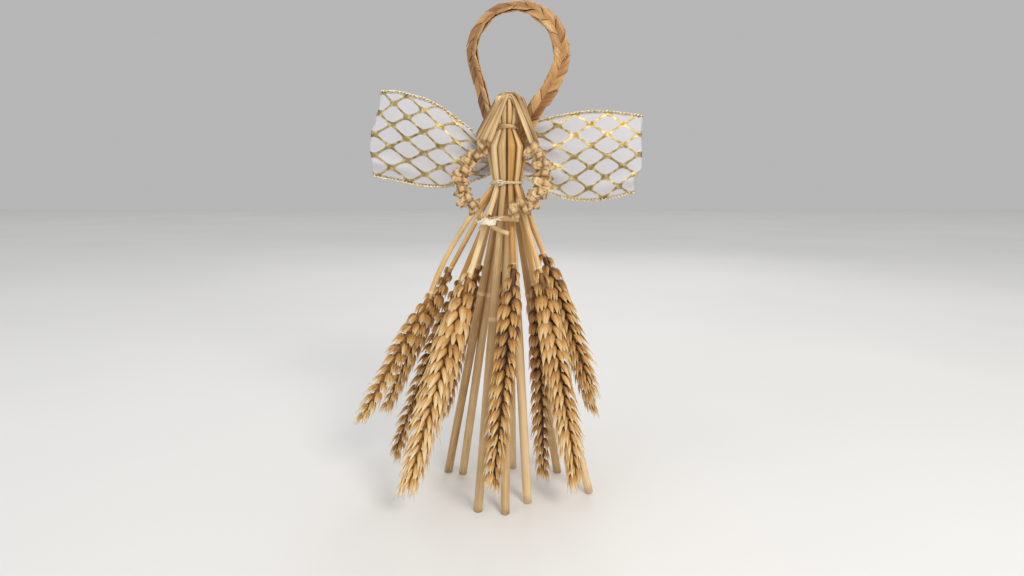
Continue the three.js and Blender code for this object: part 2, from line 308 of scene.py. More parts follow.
# satin cloth with a woven metal lattice of rounded diamonds
def makeGauzeFinish():
    finish, tree, shader = newFinish("latticeGauze")
    coords = addNode(tree, "UVMap", uv_map="clothUv").outputs[0]   # centimetres on the flat ribbon
    split = addNode(tree, "SeparateXYZ", {0: coords})
    along = sums(tree, "MULTIPLY", split.outputs[0], 10 / ribbon["lattice"][0])
    across = sums(tree, "MULTIPLY", split.outputs[1], 10 / ribbon["lattice"][1])
    powers = []
    for operation in ("ADD", "SUBTRACT"):
        cell = sums(tree, "FRACT", sums(tree, operation, along, across))
        offMiddle = sums(tree, "ABSOLUTE", sums(tree, "SUBTRACT", cell, 0.5))
        powers.append(sums(tree, "POWER", offMiddle, ribbon["corner"]))
    fromMiddle = sums(tree, "POWER", sums(tree, "ADD", *powers), 1 / ribbon["corner"])
    weave = grain(tree, coords, (34, 46, 1), 2.0)
    ragged = sums(tree, "ADD", fromMiddle, sums(tree, "MULTIPLY", sums(tree, "SUBTRACT", weave, 0.5), 0.03))
    line = addNode(tree, "MapRange", {"Value": ragged, "From Min": ribbon["line"] - 0.012,
                                      "From Max": ribbon["line"] + 0.012}).outputs[0]
    edge = addNode(tree, "Attribute", attribute_name="fromMiddle").outputs["Fac"]
    hem = sums(tree, "GREATER_THAN", edge, ribbon["hem"])
    sparkle = grain(tree, coords, (21, 24, 1), 3.0)
    metal = sums(tree, "MAXIMUM", line, sums(tree, "MULTIPLY", hem, sums(tree, "GREATER_THAN", sparkle, 0.5)))
    threads = addNode(tree, "TexWave", {"Vector": coords, "Scale": 14.0, "Distortion": 1.2, "Detail": 2.0},
                      bands_direction="X").outputs[1]
    satin = ramp(tree, sums(tree, "MULTIPLY", sums(tree, "ADD", threads, weave), 0.5),
                 [(0.2, (0.36, 0.35, 0.40)), (0.5, (0.62, 0.61, 0.65)), (0.8, (0.86, 0.85, 0.88))])
    # the lattice metal is bronze darkened as a painted reflection of a dark room, with pale-gold patches as painted
    # glints
    bronzeAndPaintedReflection = ramp(tree, grain(tree, coords, (3.1, 3.7, 1), 3.0),
                  [(0.3, (0.17, 0.125, 0.05)), (0.48, (0.40, 0.30, 0.12)), (0.7, (0.80, 0.66, 0.36))])
    colour = addNode(tree, "Mix", data_type="RGBA")
    tree.links.new(metal, colour.inputs["Factor"])
    tree.links.new(satin, colour.inputs[6])
    tree.links.new(bronzeAndPaintedReflection, colour.inputs[7])
    tree.links.new(colour.outputs[2], shader.inputs["Base Color"])
    tree.links.new(sums(tree, "MULTIPLY", metal, 0.9), shader.inputs["Metallic"])
    tree.links.new(addNode(tree, "MapRange", {"Value": metal, "To Min": 0.58, "To Max": 0.3}).outputs[0],
                   shader.inputs["Roughness"])
    shader.inputs["Sheen Weight"].default_value = 0.25
    addBump(tree, shader, sums(tree, "ADD", weave, sums(tree, "MULTIPLY", metal, 0.5)), 0.4, 0.0003)
    return finish


# glittering edge thread, gold and white in turn
def makeEdgingFinish():
    finish, tree, shader = newFinish("goldEdging")
    coords = addNode(tree, "UVMap", uv_map="strawUv").outputs[0]
    glitter = grain(tree, coords, (2, 160, 1), 2.0)
    goldAndWhite = [(0.34, (0.42, 0.31, 0.10)), (0.5, (0.80, 0.66, 0.34)), (0.62, (0.92, 0.90, 0.86))]
    metalShare = [(0.5, (0.85, 0.85, 0.85)), (0.64, (0.1, 0.1, 0.1))]
    tree.links.new(ramp(tree, glitter, goldAndWhite), shader.inputs["Base Color"])
    tree.links.new(ramp(tree, glitter, metalShare), shader.inputs["Metallic"])
    shader.inputs["Roughness"].default_value = 0.36
    addBump(tree, shader, glitter, 0.5, 0.0003)
    return finish


gauzeFinish = makeGauzeFinish()
edgingFinish = makeEdgingFinish()
print("finishes made:", len(bpy.data.materials))

# the skirt: twenty stalks bound from the crown to the waist, fanning out below into ears and legs
skirt = {
    "sides": 20, "legRadius": 2.35, "stemRadius": 1.35, "stemSteps": 16, "legSteps": 26,
    "ringSteps": (-0.009, -0.003, 0.003, 0.009), "ringSwell": 0.12, "ringTone": 0.35,
    # the head's straws are painted lighter: painted light on the face against the shadow of the hair
    "headPaintedLight": 0.16, "headRings": (12, 18), "headFluting": 0.07,
    "outer": {"stalks": 12, "firstAzimuth": 15,
              "levels": [(214.4, 4.7, 1.0), (211.5, 5.0, 1.1), (208, 5.2, 1.2), (203.4, 4.9, 1.2), (199.5, 3.8, 1.1),
                         (196, 5.6, 1.2), (190.6, 8.4, 1.5), (188.6, 8.65, 1.6), (180, 7.6, 1.5), (173.4, 6.4, 1.4),
                         (170.6, 6.4, 1.4)]},
    "inner": {"stalks": 8, "firstAzimuth": 35,
              "levels": [(213.4, 1.3, 0.7), (208, 2.6, 1.2), (199.5, 1.45, 0.7), (188, 4.6, 1.4), (173, 3.3, 1.2),
                         (170.6, 3.3, 1.2)]},
}
outerEnds = [
    {"ear": "front", "base": (3.5, -22, 130), "tip": (-7, -36, 25), "breadth": 0.98, "tone": -0.15},
    {"ear": "front_right", "base": (17, -16, 127), "tip": (35.5, -23, 21), "breadth": 1.14, "tone": -0.03},
    {"ear": "inner_right", "base": (14.5, -8, 117), "tip": (20, -3, 12), "breadth": 0.86, "tone": -0.1},
    {"ear": "right", "base": (20, 3, 133), "tip": (47, 6, 56), "tone": -0.08},
    {"ear": "rear_right", "base": (24, 13, 124), "tip": (50, 27, 40), "tone": -0.06},
    {"ear": "back_right", "base": (14, 24, 124), "tip": (27, 46, 30)},
    {"ear": "back", "base": (-3, 27, 122), "tip": (-6, 51, 28), "tone": 0.04},
    {"ear": "back_left", "base": (-17, 23, 124), "tip": (-40, 41, 30)},
    {"ear": "rear_left", "base": (-32, 10, 124), "tip": (-70, 16, 44), "breadth": 0.86, "tone": -0.06},
    {"ear": "left", "base": (-41, -5, 112), "tip": (-79.5, -2, 45), "stemBow": 8, "breadth": 0.84},
    {"ear": "front_left", "base": (-19, -18, 125), "tip": (-49, -34, 23), "breadth": 1.22, "tone": 0.08},
    {"leg": "front_left", "foot": (-15.5, -20.5), "tone": -0.2},
]
innerEnds = [
    {"leg": "front_right", "foot": (11, -12), "tone": 0.24},
    {"leg": "right", "foot": (46, -2), "squareCut": True, "tone": 0.3},
    {"leg": "back_right", "foot": (30, 22)},
    {"leg": "back", "foot": (3, 27.5), "tone": 0.06},
    {"leg": "back_left", "foot": (-27, 20), "tone": -0.05},
    {"ear": "inner_left", "base": (-26, 2, 118), "tip": (-64, 6, 20), "breadth": 0.84, "tone": -0.1},
    {"leg": "left", "foot": (-36, 22.5), "tone": -0.04},
    {"leg": "front", "foot": (-1, -23), "tone": -0.06},
]
ear = {
    "pitch": 3.2, "bow": 1.0, "core": 1.7, "tilt": 27, "offset": 1.35, "sunk": 2.4,
    "size": (10.6, 2.0, 1.2), "awn": (0.6, 2.2),
    # each spikelet's scales: place around the spine, extra tilt, share of the size
    "scales": [(-68, -7, 0.84), (-40, -2, 0.96), (-12, 5, 1.04), (14, 2, 1.06), (42, -2, 0.96), (70, -7, 0.84)],
}


# scales of chaff: one ball copied as often as needed, each drawn out to a pointed boat with a bristle
def addScales(bm, scales):
    uvLayer = bm.loops.layers.uv["strawUv"]
    toneLayer = bm.verts.layers.float["tone"]
    numberLayer = bm.verts.layers.int.new("number")
    bmesh.ops.create_uvsphere(bm, u_segments=8, v_segments=7, radius=1)
    made = 1
    while made < len(scales):
        copied = bmesh.ops.duplicate(bm, geom=bm.verts[:] + bm.edges[:] + bm.faces[:])["geom"]
        for v in copied:
            if isinstance(v, bmesh.types.BMVert):
                v[numberLayer] += made
        made *= 2
    spare = [v for v in bm.verts if v[numberLayer] >= len(scales)]
    bmesh.ops.delete(bm, geom=spare, context="VERTS")
    mark = {}
    for v in bm.verts:
        base, along, across, outward, size, awn, tone, shift = scales[v[numberLayer]]
        length, halfWidth, halfDepth = size
        share = math.acos(max(-1, min(1, -v.co.z))) / math.pi
        girth = math.hypot(v.co.x, v.co.y)
        x, y, full = 0, 0, 0
        if girth > 1e-4:
            x, y = v.co.x / girth, v.co.y / girth
            full = (share / 0.32) ** 0.55 if share < 0.32 else ((1 - share) / 0.68) ** 0.8
        reach = length * share + (awn if share > 0.99 else 0)
        keel = halfDepth * (1.0 if y > 0 else 0.45) * (1 + 0.25 * max(0, 1 - 2.6 * abs(x)))
        curl = outward * (halfDepth * 0.8 * math.sin(math.pi * share) - 0.5 * share * share)
        v.co = base + along * reach + across * x * halfWidth * full + outward * y * keel * full + curl
        # a scale is darker at its base and sides, painted shade where it tucks into the ear, and paler towards its tip
        v[toneLayer] = tone + 0.5 * smoothstep(share, 0.12, 0.9) - 0.2 * abs(x) * (1 - share)
        mark[v] = (0.5 + 0.5 * x + shift, share + shift)
    for face in bm.faces:
        face.smooth = True
        for loop in face.loops:
            loop[uvLayer].uv = mark[loop.vert]
    bm.verts.layers.int.remove(numberLayer)


# an ear: spikelets alternate left and right of the spine, plump near the stem and slender near the tip
def addEar(bm, end, outward, base, tip):
    middle = base.lerp(tip, 0.5) + outward * ear["bow"]
    broad = outward
    if outward.y <= 0.6:   # all but the back ears turn their broad side mostly forward
        broad = (outward * 0.3 + forward + heading(chance.uniform(-90, 90)) * 0.3).normalized()
    count = round((tip - base).length / ear["pitch"])
    spine = bentRoute(base, middle, tip, count)
    breadth = end.get("breadth", 1.0)
    tone = 0.3 + end.get("tone", 0)
    scales = []

    def place(start, aim, away, size, awn, shade):
        away = (away - aim * away.dot(aim)).normalized()
        scales.append((start, aim, away.cross(aim), away, size, awn, shade, chance.random() * 9))

    for i in range(count + 1):
        share = i / count
        along = (spine[min(i + 1, count)] - spine[max(i - 1, 0)]).normalized()
        face = (broad - along * broad.dot(along)).normalized()
        across = face.cross(along) * (1 if i % 2 else -1)
        grow = lerp(0.5, 1, smoothstep(share, -0.02, 0.18)) * lerp(1, 0.84, smoothstep(share, 0.75, 1))
        grow *= breadth
        slim = lerp(1.16, 0.66, smoothstep(share, 0.12, 0.8))
        awn = lerp(*ear["awn"], smoothstep(share, 0.2, 0.8))
        tilt = ear["tilt"] * lerp(0.62, 0.98, smoothstep(share, 0, 0.4))
        tilt *= lerp(1, 0.5, smoothstep(share, 0.7, 1))
        for around, extra, part in ear["scales"]:
            if share < 0.07 and abs(around) > 60:
                continue   # the lowest spikelets next to the stem are poor ones
            turn = math.radians(around + chance.uniform(-7, 7))
            lean = math.radians(tilt + extra + chance.uniform(-6, 6))
            side = across * math.cos(turn) + face * math.sin(turn)
            drift = across * math.cos(turn * 0.55) + face * math.sin(turn * 0.55)
            aim = (along * math.cos(lean) + drift * math.sin(lean)).normalized()
            scale = grow * part * chance.uniform(0.9, 1.08)
            length, halfWidth, halfDepth = ear["size"]
            size = (length * scale * lerp(0.9, 1.05, share), halfWidth * scale * slim, halfDepth * scale * slim)
            shade = tone + 0.18 * smoothstep(share, 0.3, 0.95) + chance.uniform(-0.16, 0.16)
            start = spine[i] + side * ear["offset"] * breadth - along * ear["sunk"]
            place(start, aim, side, size, awn * chance.uniform(0.4, 1.3), shade)
    for turn in (-16, -5, 6, 17):   # the ear ends in a small tuft
        aim = (along * math.cos(math.radians(turn)) + across * math.sin(math.radians(turn))).normalized()
        place(tip - along * 4, aim, face, (7.5 * breadth, 1.1, 0.8), 2.4, tone + 0.2)
    addScales(bm, scales)
    core = [ear["core"] * (1 - 0.5 * i / count) for i in range(count + 1)]
    rollStraw(bm, ringsAlong(spine, [outward] * len(spine), core, core), 8, tone - 0.1)


def boundRoute(group, outward):
    profile = smoothRoute([(r, d, z) for z, r, d in group["levels"]], 4)
    centres = [outward * p.x + up * p.z for p in profile]
    halfWidths = [math.pi * p.x / group["stalks"] * 0.94 for p in profile]
    return centres, halfWidths, [p.y for p in profile]


def addStalks(group, ends):
    for slotNumber, end in enumerate(ends):
        outward = heading(group["firstAzimuth"] + slotNumber * 360 / group["stalks"])
        centres, halfWidths, halfDepths = boundRoute(group, outward)
        waist, waistWidth, waistDepth = centres[-1], halfWidths[-1], halfDepths[-1]
        bm = startPiece()
        isEar = "ear" in end
        goal = Vector(end["base"]) if isEar else Vector((*end["foot"], 0))
        radius = skirt["stemRadius"] if isEar else skirt["legRadius"]
        if end.get("squareCut"):
            lean = (goal - waist).normalized()
            goal.z = radius * math.hypot(lean.x, lean.y)
        steps = skirt["stemSteps"] if isEar else skirt["legSteps"]
        bend = waist.lerp(goal, 0.5) + outward * end.get("stemBow", 0)
        ringAt = 0.94 if isEar else 0.38 + 0.06 * chance.uniform(-1, 1)   # collar under an ear, joint of a leg
        shares = sorted([i / steps for i in range(1, steps + 1)] + [ringAt + d for d in skirt["ringSteps"]])
        for share in shares:
            swell = skirt["ringSwell"] if abs(share - ringAt) < skirt["ringSteps"][2] * 1.1 else 0
            centres.append(waist * (1 - share) ** 2 + bend * 2 * share * (1 - share) + goal * share * share)
            halfWidths.append(lerp(waistWidth, radius, min(2.2 * share, 1)) * (1 + swell))
            halfDepths.append(lerp(waistDepth, radius, min(2.2 * share, 1)) * (1 + swell))
        count = len(centres)
        bound = count - len(shares)   # the rings of the bound part come first
        tone = 0.66 + end.get("tone", 0) * 0.9 + chance.uniform(-0.06, 0.14)
        drift = chance.uniform(-0.12, 0.12)
        # the head's rings get painted light, so the face reads bright
        belowHead = [smoothstep(i, *skirt["headRings"]) for i in range(count)]
        tones = [tone + drift * i / count + skirt["headPaintedLight"] * (1 - belowHead[i]) for i in range(count)]
        for i, share in enumerate(shares):
            if abs(share - ringAt) < skirt["ringSteps"][2] * 1.1:
                tones[bound + i] += skirt["ringTone"]
        rings = ringsAlong(centres, [outward] * count, halfWidths, halfDepths)
        if not isEar and not end.get("squareCut"):   # cut level with the ground
            rings[-1] = (rings[-1][0], outward.cross(-up).normalized(), outward, radius, radius)
        if isEar:
            addEar(bm, end, outward, goal, Vector(end["tip"]))
        square = [lerp(0.74, 0.95, smoothstep(i, bound - 2, bound + 6)) for i in range(count)]
        flutes = [skirt["headFluting"] * (1 - smoothstep(i, 14, 20)) for i in range(count)]
        # painted shade: the bound straws darken towards their sides, dark lines between neighbours, softer in the head
        shade = [lerp(0.2, 0.42, belowHead[i]) * (1 - smoothstep(i, bound - 2, bound + 5)) for i in range(count)]
        rollStraw(bm, rings, skirt["sides"], tones, square, "closed" if isEar else "hollow", flutes, shade)
        name = ("wheat_stalk_" if isEar else "leg_straw_") + (end["ear"] if isEar else end["leg"])
        slotName, finish = ("chaff", chaffFinish) if isEar else ("straw", strawFinish)
        finishPiece(bm, name + "_straw", [name], finish)


addStalks(skirt["outer"], outerEnds)
addStalks(skirt["inner"], innerEnds)
print("skirt stalks made:", len(outerEnds) + len(innerEnds))

# hair: flattened straws bent over the crown from the parting, each split lengthwise into narrow strips
hair = {
    "azimuths": [38, 62, 86, 109, 149, 170], "halfDepth": 0.42, "topZ": 215.4,
    "parting": 1.95, "bow": 0.25, "end": (15.3, 193, 201),
    "leftReach": [0.9, 2.2, 3.6, 4.6, 4.6, 4.6], "rightReach": [2.4, 4.2, 6.4, 7.4, 6.6, 5.6],
    # where a strip lies beside its straw's line on the viewer's left and right, and its half width there
    "strips": [(-7, 3, 1.2, 1.3), (6, 16, 1.3, 1.25)],
    "wide": [(-4.5, 24, 1.3, 2.2), (7.5, 12, 1.15, 1.0)],
}


def hairSide(k, side, spread, crown):
    share = k / 5
    away = heading(side * (hair["azimuths"][k] + spread * (1 if k < 4 else 0.4)))
    endZ = lerp(hair["end"][1], hair["end"][2], share ** 2) - (1.6 if side > 0 else 0)
    endZ += chance.uniform(-1.4, 1.2)
    end = away * hair["end"][0] + up * endZ
    level = Vector((end.x - crown.x, end.y - crown.y, 0)).normalized()
    reach = hair["rightReach" if side > 0 else "leftReach"][k]
    corner = crown + level * reach - up * (0.25 + 0.13 * reach)
    bow = away * hair["bow"]
    return [end, end.lerp(corner, 0.33) + bow, end.lerp(corner, 0.67) + bow, corner]


for k in range(6):
    bm = startPiece()
    strips = hair["wide" if k == 0 else "strips"]
    for number, (leftSpread, rightSpread, leftHalf, rightHalf) in enumerate(strips):
        partingY = (k - 2.5) * hair["parting"] + (number - 0.5) * 0.9
        crown = Vector((0.6, partingY, hair["topZ"] - partingY ** 2 / 17))
        points = hairSide(k, -1, leftSpread, crown) + [crown] + hairSide(k, 1, rightSpread, crown)[::-1]
        centres = smoothRoute(points, 7)
        faces, halfWidths, tones = [], [], []
        for i, c in enumerate(centres):
            side = lerp(leftHalf, rightHalf, smoothstep(i / len(centres), 0.4, 0.6))
            halfWidths.append(side * lerp(0.66, 1, smoothstep(abs(i / (len(centres) - 1) - 0.5), 0.08, 0.42)))
            radial = Vector((c.x, c.y, max(c.z - 209, 0) * 1.6)).normalized()
            faces.append((radial + forward * (0.9 if k == 0 else 0)).normalized())
            tones.append(0.6 + 0.1 * number - 0.12 * (k % 2) + 0.08 * math.sin(i * 0.3 + k))
        centres = [c + f * (0.55 * number + 0.5 * (k % 2)) for c, f in zip(centres, faces)]
        rings = ringsAlong(centres, faces, halfWidths, [hair["halfDepth"]] * len(centres))
        # shade 0.4 darkens each strip's edges: painted shade in the gaps between the strips
        rollStraw(bm, rings, 12, tones, 0.9, "closed", 0.0, 0.4)
    finishPiece(bm, f"hair_straw_{k + 1}_strip", [f"hair_straw_{k + 1}"], strawFinish)
print("hair straws made:", len(hair["azimuths"]))

# halo: a flat plait of panels folded over at its edges, face on at the viewer's right and turned at the left
halo = {
    "x": 5.0, "y": 7.7, "z": 236.5, "halfWidth": 22.8, "halfHeight": 23.2, "openFrom": 118,
    "ends": [(-2.2, 196), (-9.6, 206), (13.5, 207), (6.5, 196)],
    "pitch": 4.3, "reach": 2.05, "half": 4.1, "cuts": 8, "lift": 0.9,
    "strip": (4.5, 0.2), "steps": 260, "turned": 47,
}
route = [(x, halo["y"], z) for x, z in halo["ends"][:2]]
for i in range(-4, 5):
    turn = math.radians(i * halo["openFrom"] / 4)
    x = halo["x"] + halo["halfWidth"] * math.sin(turn)
    route.append((x, halo["y"], halo["z"] + halo["halfHeight"] * math.cos(turn)))
route += [(x, halo["y"], z) for x, z in halo["ends"][2:]]
line = evenRoute(smoothRoute(route, 14), halo["steps"])
length = sum((b - a).length for a, b in zip(line, line[1:]))
bm = startPiece()
panels = round(length / halo["pitch"])
for k in range(-1, panels):
    sign = 1 if k % 2 else -1   # panels lean to one side and the other in turn
    rings = []
    # alternate panels are painted lighter and darker, painted light and shade of panels leaning two ways, with random
    # tone besides
    tone = 0.34 + (0.07 if k % 2 else -0.04) + chance.uniform(-0.2, 0.2)
    rim = (1.06 if k % 4 < 2 else 0.92) + chance.uniform(-0.06, 0.06)
    for j in range(halo["cuts"] + 1):
        part = j / halo["cuts"]
        share = min(max((k + part * halo["reach"]) / panels, 0), 1)
        i = min(int(share * halo["steps"]), halo["steps"] - 1)
        centre = line[i].lerp(line[i + 1], share * halo["steps"] - i)
        along = (line[i + 1] - line[i]).normalized()
        roll = math.radians(halo["turned"]) * (1 - smoothstep(share, 0.46, 0.66))
        flat = along.cross(forward).normalized()
        across = flat * math.cos(roll) + forward * math.sin(roll)
        face = forward * math.cos(roll) - flat * math.sin(roll)
        half = halo["half"] * lerp(0.86, 1.06, share) * rim
        rise = halo["lift"] * (0.5 + 0.5 * math.sin(2 * math.pi * part) - 1.3 * part)
        spot = centre + across * sign * half * (1 - 2 * part) + face * rise
        slant = face.cross(-across * sign).normalized()
        rings.append((spot, -slant, face, halo["strip"][0], halo["strip"][1]))
    # each panel is painted lighter towards its folded ends: painted highlight on the fold edges
    tones = [tone + 0.22 * abs(1 - 2 * j / halo["cuts"]) ** 3 for j in range(halo["cuts"] + 1)]
    rollStraw(bm, rings, 8, tones, 0.6)
finishPiece(bm, "halo_plait_strands", ["halo_plait"], toastedFinish)
print("halo made, plait length", round(length), "mm")

# arms: folded straw, a row of domes with flat pointed flaps, then a plain end held at the wrist
arms = {
    "left": {"route": [(-10, -6, 190.5), (-17.5, -8, 184.5), (-23, -13, 174), (-21, -17, 165), (-14.5, -21, 158.5)],
             "tail": [(-13, -22.3, 156.8), (-9, -22.3, 153.2), (-5, -22.3, 149.8), (1, -23.5, 147.6)],
             "tailHalf": [(2.1, 0.8), (1.5, 1.0), (1.1, 1.0), (1.15, 1.1)],
             "folds": 8, "half": 2.85, "tone": 0.52},
    "right": {"route": [(11, -6, 190), (17, -9, 181.5), (17.6, -14, 171), (12.5, -18, 163), (1.5, -18.6, 157)],
              "tail": [(6, -18.4, 154.4), (-2, -18.3, 154.4), (-9, -18.1, 153.4), (-12.5, -18.1, 148.5)],
              "tailHalf": [(1.45, 1.3), (1.45, 1.3), (1.5, 1.0), (2.1, 0.7)],
              "folds": 9, "half": 3.0, "tone": 0.54},
    "cuts": 3, "puff": 0.62, "pinch": 0.26,
}


# one fold: a cube whose faces puff out and whose edges draw in, which leaves creases and pointed corners
def addFold(bm, centre, axes, half, tone, pinch):
    uvLayer = bm.loops.layers.uv["strawUv"]
    toneLayer = bm.verts.layers.float["tone"]
    earlier = len(bm.verts)
    cube = bmesh.ops.create_cube(bm, size=2)["verts"]
    edges = list({e for v in cube for e in v.link_edges})
    bmesh.ops.subdivide_edges(bm, edges=edges, cuts=arms["cuts"], use_grid_fill=True)
    verts = bm.verts[earlier:]
    faces = {f for v in verts for f in v.link_faces}
    shift = chance.random() * 7
    rimPaintedLight, facePaintedLight = (-0.4, 0.16) if pinch else (0.16, -0.34)   # domes get painted shade in the creases along their edges and painted light on their faces; flaps get painted highlight on their edges and painted shade on their faces
    for face in faces:
        face.smooth = pinch > 0
        middle = [abs(c) for c in face.calc_center_median()]
        main = middle.index(max(middle))
        one, two = [i for i in range(3) if i != main]
        for loop in face.loops:
            loop[uvLayer].uv = (loop.vert.co[one] * 0.4 + shift + main, loop.vert.co[two] * 0.03 + shift)
    for v in verts:
        flat = list(v.co)
        puffed = list(v.co)
        rims = [abs(abs(c) - 1) < 1e-4 for c in flat]
        for i in range(3):
            one, two = flat[(i + 1) % 3], flat[(i + 2) % 3]
            if rims[i]:
                puffed[i] += math.copysign(arms["puff"], flat[i]) * ((1 - one * one) * (1 - two * two)) ** 1.5
            if sum(rims) >= 2 and rims[i]:
                free = [c for c, rim in zip(flat, rims) if not rim]
                puffed[i] *= 1 - pinch * (1 - free[0] ** 2 if free else -0.35)
        v.co = centre + sum((axis * c * h for axis, c, h in zip(axes, puffed, half)), Vector())
        # painted light and shade by rim and face, with a little random tone
        v[toneLayer] = tone + (rimPaintedLight if sum(rims) >= 2 else facePaintedLight) + chance.uniform(-0.06, 0.06)


for name in ("left", "right"):
    arm = arms[name]
    bm = startPiece()
    line = evenRoute(smoothRoute(arm["route"], 12), 2 * arm["folds"])
    for i in range(arm["folds"]):
        centre = line[2 * i + 1]
        along = (line[2 * i + 2] - line[2 * i]).normalized()
        flat = along.cross(forward).normalized()
        depth = flat.cross(along).normalized()
        turn = math.radians((18 if i % 2 else 58) + chance.uniform(-10, 10))
        first = flat * math.cos(turn) + depth * math.sin(turn)
        second = depth * math.cos(turn) - flat * math.sin(turn)
        lean = first * chance.uniform(-0.3, 0.3) + second * chance.uniform(-0.3, 0.3)
        third = (along + lean).normalized()
        pitch = (line[2 * i + 2] - line[2 * i]).length
        size = arm["half"] * chance.uniform(0.94, 1.1)
        tone = arm["tone"] + chance.uniform(-0.08, 0.08)
        middle = centre + flat * chance.uniform(-0.5, 0.5)
        dome = (size * 0.76, size * 0.9, pitch * 0.4)
        addFold(bm, middle, (first, second, third), dome, tone + 0.06, arms["pinch"])
        for layer in (-1, 1):   # folded flaps whose corners stand out around it
            turn = math.radians((34 if i % 2 else -34) + layer * 26 + chance.uniform(-12, 12))
            one = (flat * math.cos(turn) + along * math.sin(turn) + depth * chance.uniform(-0.3, 0.3)).normalized()
            two = depth.cross(one).normalized()
            spot = middle + depth * layer * size * 0.5
            flap = (size * 1.14, size * 0.56, 0.3)
            addFold(bm, spot, (one, two, one.cross(two)), flap, tone + 0.08, 0)
    tail = smoothRoute(arm["tail"], 6)
    halves = smoothRoute([(a, b, 0) for a, b in arm["tailHalf"]], 6)
    rings = ringsAlong(tail, [forward] * len(tail), [h.x for h in halves], [h.y for h in halves])
    tones = [0.5 + 0.4 * smoothstep(i / len(tail), 0.7, 1) for i in range(len(tail))]
    rollStraw(bm, rings, 12, tones, 0.85, "hollow")
    finishPiece(bm, f"arm_{name}_folds", [f"arm_{name}"], strawFinish)
print("arms made")

# ties: a flat straw at the neck, twisted raffia at the waist, wound thread at the wrists
neckTie = {"radius": 5.5, "z": 199.5, "half": (0.85, 0.26), "droop": 0.9, "steps": 72}
bm = startPiece()
for rise, grow in ((0, 0), (0.7, 0.22)):
    centres, faces = [], []
    for i in range(neckTie["steps"] + 1):
        azimuth = 360 * i / neckTie["steps"]
        away = heading(azimuth)
        droop = neckTie["droop"] * (1 - math.cos(math.radians(azimuth))) / 2
        height = neckTie["z"] + rise * math.cos(math.radians(azimuth + 40)) - droop
        centres.append(away * (neckTie["radius"] + grow) + up * height)
        faces.append(away)
    rollStraw(bm, evenRings(centres, faces, neckTie["half"]), 8, 0.66, 0.8, "joined")
finishPiece(bm, "neck_tie_straw", ["neck_tie"], strawFinish)

waistTie = {"radius": 8.1, "z": 171.9, "strand": 0.46, "twist": 0.36, "turns": 13, "steps": 208, "knotAt": -22}
bm = startPiece()
for strand in range(2):
    centres, faces = [], []
    for i in range(waistTie["steps"] + 1):
        azimuth = 360 * i / waistTie["steps"]
        away = heading(azimuth)
        t = 2 * math.pi * (waistTie["turns"] * i / waistTie["steps"] + strand / 2)
        centres.append(away * (waistTie["radius"] + waistTie["twist"] * math.cos(t))
                       + up * (waistTie["z"] + waistTie["twist"] * math.sin(t) + 0.3 * math.sin(math.radians(azimuth))))
        faces.append(away)
    half = (waistTie["strand"], waistTie["strand"] * 0.8)
    rollStraw(bm, evenRings(centres, faces, half), 8, 0.6, 1.0, "joined")
away = heading(waistTie["knotAt"])
sideOn = away.cross(up)
knot = away * (waistTie["radius"] + 0.9) + up * waistTie["z"]
loopRoute = [knot + sideOn * 1.6 * math.sin(t) + up * 1.1 * math.cos(t) + away * 0.6 * math.sin(2 * t)
             for t in (2 * math.pi * i / 20 for i in range(21))]
rollStraw(bm, evenRings(loopRoute, [away] * 21, (0.45, 0.4)), 8, 0.72, 1.0, "joined")
for drift, drop in ((-4.6, 0.9), (4.2, 1.5)):
    bend = knot + sideOn * drift * 0.5 + away * 0.9
    ends = bentRoute(knot, bend, knot + sideOn * drift + up * drop - away * 0.5, 8)
    rollStraw(bm, ringsAlong(ends, [away] * 9, [0.46 - 0.03 * i for i in range(9)], [0.34] * 9), 8, 0.7)
finishPiece(bm, "waist_tie_raffia", ["waist_tie"], raffiaFinish)

wristTie = {"place": (-9, -20.2, 153.2), "oval": (3.5, 4.3), "thread": 0.36, "turns": 5, "height": 2.6,
            "steps": 180, "fluff": 14}
bm = startPiece()
place = Vector(wristTie["place"])
centres, faces = [], []
for i in range(wristTie["steps"] + 1):
    t = 2 * math.pi * wristTie["turns"] * i / wristTie["steps"]
    away = Vector((math.sin(t) * wristTie["oval"][0], -math.cos(t) * wristTie["oval"][1], 0))
    rise = up * wristTie["height"] * (i / wristTie["steps"] - 0.5)
    centres.append(place + away * (1 + 0.05 * math.sin(i * 1.7)) + rise)
    faces.append(away.normalized())
rollStraw(bm, evenRings(centres, faces, (wristTie["thread"] * 1.25, wristTie["thread"])), 8, 0.95)
for i in range(wristTie["fluff"]):   # loose thread ends
    away = heading(chance.uniform(-75, 75))
    start = place + Vector((away.x * wristTie["oval"][0], away.y * wristTie["oval"][1], chance.uniform(-1, 1.2)))
    tip = start + away * chance.uniform(1.2, 2.6)
    tip += Vector((chance.uniform(-2.5, 2.5), 0, chance.uniform(-1.5, 3)))
    hairs = bentRoute(start, start.lerp(tip, 0.5) + up * chance.uniform(-1, 1.5), tip, 6)
    widths = [0.24 - 0.02 * j for j in range(7)]
    depths = [0.22 - 0.02 * j for j in range(7)]
    rollStraw(bm, ringsAlong(hairs, [away.cross(up)] * 7, widths, depths), 5, 1.0)
finishPiece(bm, "wrist_tie_thread", ["wrist_tie"], raffiaFinish)
print("ties made")


